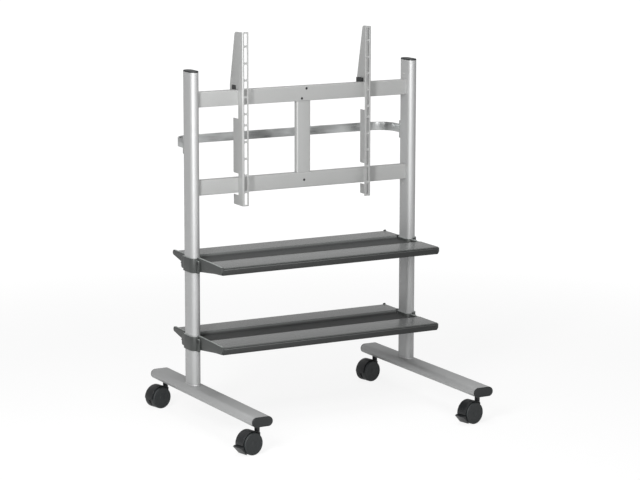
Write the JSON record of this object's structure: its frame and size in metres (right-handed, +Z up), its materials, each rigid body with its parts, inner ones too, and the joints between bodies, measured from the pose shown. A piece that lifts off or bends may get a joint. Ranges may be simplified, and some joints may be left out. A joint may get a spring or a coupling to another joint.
{
  "type": "tv cart",
  "caption": "Rolling television stand: oval posts on castored feet, sliding slotted screen arms, clamped height-adjustable shelves and a bent push handle at the back.",
  "frame": {"origin": "middle of the cart's bounding box on the floor", "axes": "+Z up; the screen faces -Y; the push handle is on the +Y side; +X runs along the crossbars to the cart's right-hand post as seen from the front"},
  "size_m": [1.0286, 0.83, 1.41],
  "materials": {
    "silver_tube": "satin silver anodised tube",
    "silver_sheet": "fine silver powder coat on steel",
    "handle_steel": "satin steel flat bar",
    "anthracite_paint": "anthracite semi-gloss powder coat",
    "bracket_grey": "anthracite satin coat on cast metal",
    "black_plastic": "satin moulded black plastic",
    "wheel_black": "satin black wheel plastic",
    "black_steel": "black oxide screws",
    "glide_black": "matte black glide block"
  },
  "bodies": {
    "frame": {"left_post": "silver_tube", "right_post": "silver_tube", "left_post_cap": "black_plastic", "right_post_cap": "black_plastic", "left_foot": "silver_tube", "right_foot": "silver_tube", "left_foot_front_cap": "black_plastic", "left_foot_rear_cap": "black_plastic", "right_foot_front_cap": "black_plastic", "right_foot_rear_cap": "black_plastic", "upper_crossbar": "silver_sheet", "lower_crossbar": "silver_sheet", "upper_crossbar_screw_1": "black_steel", "upper_crossbar_screw_2": "black_steel", "lower_crossbar_screw_1": "black_steel", "centre_upright": "silver_sheet", "push_handle": "handle_steel", "front_left_castor_stem": "black_plastic", "rear_left_castor_stem": "black_plastic", "front_right_castor_stem": "black_plastic", "rear_right_castor_stem": "black_plastic"},
    "left_arm": {"left_screen_arm": "silver_sheet", "left_arm_glide": "glide_black"},
    "right_arm": {"right_screen_arm": "silver_sheet", "right_arm_glide": "glide_black"},
    "upper_shelf": {"upper_shelf_tray": "anthracite_paint", "upper_left_bracket": "bracket_grey", "upper_right_bracket": "bracket_grey", "upper_left_clamp": "bracket_grey", "upper_right_clamp": "bracket_grey", "upper_left_front_clamp_bolt": "black_steel", "upper_left_rear_clamp_bolt": "black_steel", "upper_right_front_clamp_bolt": "black_steel", "upper_right_rear_clamp_bolt": "black_steel"},
    "lower_shelf": {"lower_shelf_tray": "anthracite_paint", "lower_left_bracket": "bracket_grey", "lower_right_bracket": "bracket_grey", "lower_left_clamp": "bracket_grey", "lower_right_clamp": "bracket_grey", "lower_left_front_clamp_bolt": "black_steel", "lower_left_rear_clamp_bolt": "black_steel", "lower_right_front_clamp_bolt": "black_steel", "lower_right_rear_clamp_bolt": "black_steel"},
    "front_left_castor": {"front_left_castor_hood": "black_plastic"},
    "rear_left_castor": {"rear_left_castor_hood": "black_plastic"},
    "front_right_castor": {"front_right_castor_hood": "black_plastic"},
    "rear_right_castor": {"rear_right_castor_hood": "black_plastic"},
    "front_left_wheel_l": {"front_left_castor_left_wheel": "wheel_black"},
    "front_left_wheel_r": {"front_left_castor_right_wheel": "wheel_black"},
    "rear_left_wheel_l": {"rear_left_castor_left_wheel": "wheel_black"},
    "rear_left_wheel_r": {"rear_left_castor_right_wheel": "wheel_black"},
    "front_right_wheel_l": {"front_right_castor_left_wheel": "wheel_black"},
    "front_right_wheel_r": {"front_right_castor_right_wheel": "wheel_black"},
    "rear_right_wheel_l": {"rear_right_castor_left_wheel": "wheel_black"},
    "rear_right_wheel_r": {"rear_right_castor_right_wheel": "wheel_black"},
    "front_left_brake": {"front_left_castor_brake_pedal": "black_plastic"},
    "front_right_brake": {"front_right_castor_brake_pedal": "black_plastic"}
  },
  "joints": [
    {"name": "left_arm_slide", "type": "slide", "parent": "frame", "child": "left_arm", "axis": [1, 0, 0], "range_m": [-0.16, 0.2]},
    {"name": "right_arm_slide", "type": "slide", "parent": "frame", "child": "right_arm", "axis": [1, 0, 0], "range_m": [-0.2, 0.16]},
    {"name": "upper_shelf_slide", "type": "slide", "parent": "frame", "child": "upper_shelf", "axis": [0, 0, 1], "range_m": [-0.1, 0.15]},
    {"name": "lower_shelf_slide", "type": "slide", "parent": "frame", "child": "lower_shelf", "axis": [0, 0, 1], "range_m": [-0.105, 0.1]},
    {"name": "front_left_swivel", "type": "hinge", "parent": "frame", "child": "front_left_castor", "pos_m": [-0.42566, -0.372, 0.08], "axis": [0, 0, 1], "continuous": true},
    {"name": "rear_left_swivel", "type": "hinge", "parent": "frame", "child": "rear_left_castor", "pos_m": [-0.42566, 0.372, 0.08], "axis": [0, 0, 1], "continuous": true},
    {"name": "front_right_swivel", "type": "hinge", "parent": "frame", "child": "front_right_castor", "pos_m": [0.47434, -0.372, 0.08], "axis": [0, 0, 1], "continuous": true},
    {"name": "rear_right_swivel", "type": "hinge", "parent": "frame", "child": "rear_right_castor", "pos_m": [0.47434, 0.372, 0.08], "axis": [0, 0, 1], "continuous": true},
    {"name": "front_left_roll_l", "type": "hinge", "parent": "front_left_castor", "child": "front_left_wheel_l", "pos_m": [-0.46135, -0.37243, 0.04], "axis": [0.2079, -0.9781, 0], "continuous": true},
    {"name": "front_left_roll_r", "type": "hinge", "parent": "front_left_castor", "child": "front_left_wheel_r", "pos_m": [-0.45844, -0.38612, 0.04], "axis": [0.2079, -0.9781, 0], "continuous": true},
    {"name": "rear_left_roll_l", "type": "hinge", "parent": "rear_left_castor", "child": "rear_left_wheel_l", "pos_m": [-0.46135, 0.37157, 0.04], "axis": [0.2079, -0.9781, 0], "continuous": true},
    {"name": "rear_left_roll_r", "type": "hinge", "parent": "rear_left_castor", "child": "rear_left_wheel_r", "pos_m": [-0.45844, 0.35788, 0.04], "axis": [0.2079, -0.9781, 0], "continuous": true},
    {"name": "front_right_roll_l", "type": "hinge", "parent": "front_right_castor", "child": "front_right_wheel_l", "pos_m": [0.43865, -0.37243, 0.04], "axis": [0.2079, -0.9781, 0], "continuous": true},
    {"name": "front_right_roll_r", "type": "hinge", "parent": "front_right_castor", "child": "front_right_wheel_r", "pos_m": [0.44156, -0.38612, 0.04], "axis": [0.2079, -0.9781, 0], "continuous": true},
    {"name": "rear_right_roll_l", "type": "hinge", "parent": "rear_right_castor", "child": "rear_right_wheel_l", "pos_m": [0.43865, 0.37157, 0.04], "axis": [0.2079, -0.9781, 0], "continuous": true},
    {"name": "rear_right_roll_r", "type": "hinge", "parent": "rear_right_castor", "child": "rear_right_wheel_r", "pos_m": [0.44156, 0.35788, 0.04], "axis": [0.2079, -0.9781, 0], "continuous": true},
    {"name": "front_left_brake_press", "type": "hinge", "parent": "front_left_castor", "child": "front_left_brake", "pos_m": [-0.48667, -0.38497, 0.02545], "axis": [0.2079, -0.9781, 0], "range_deg": [0, 8]},
    {"name": "front_right_brake_press", "type": "hinge", "parent": "front_right_castor", "child": "front_right_brake", "pos_m": [0.41333, -0.38497, 0.02545], "axis": [0.2079, -0.9781, 0], "range_deg": [0, 8]}
  ]
}
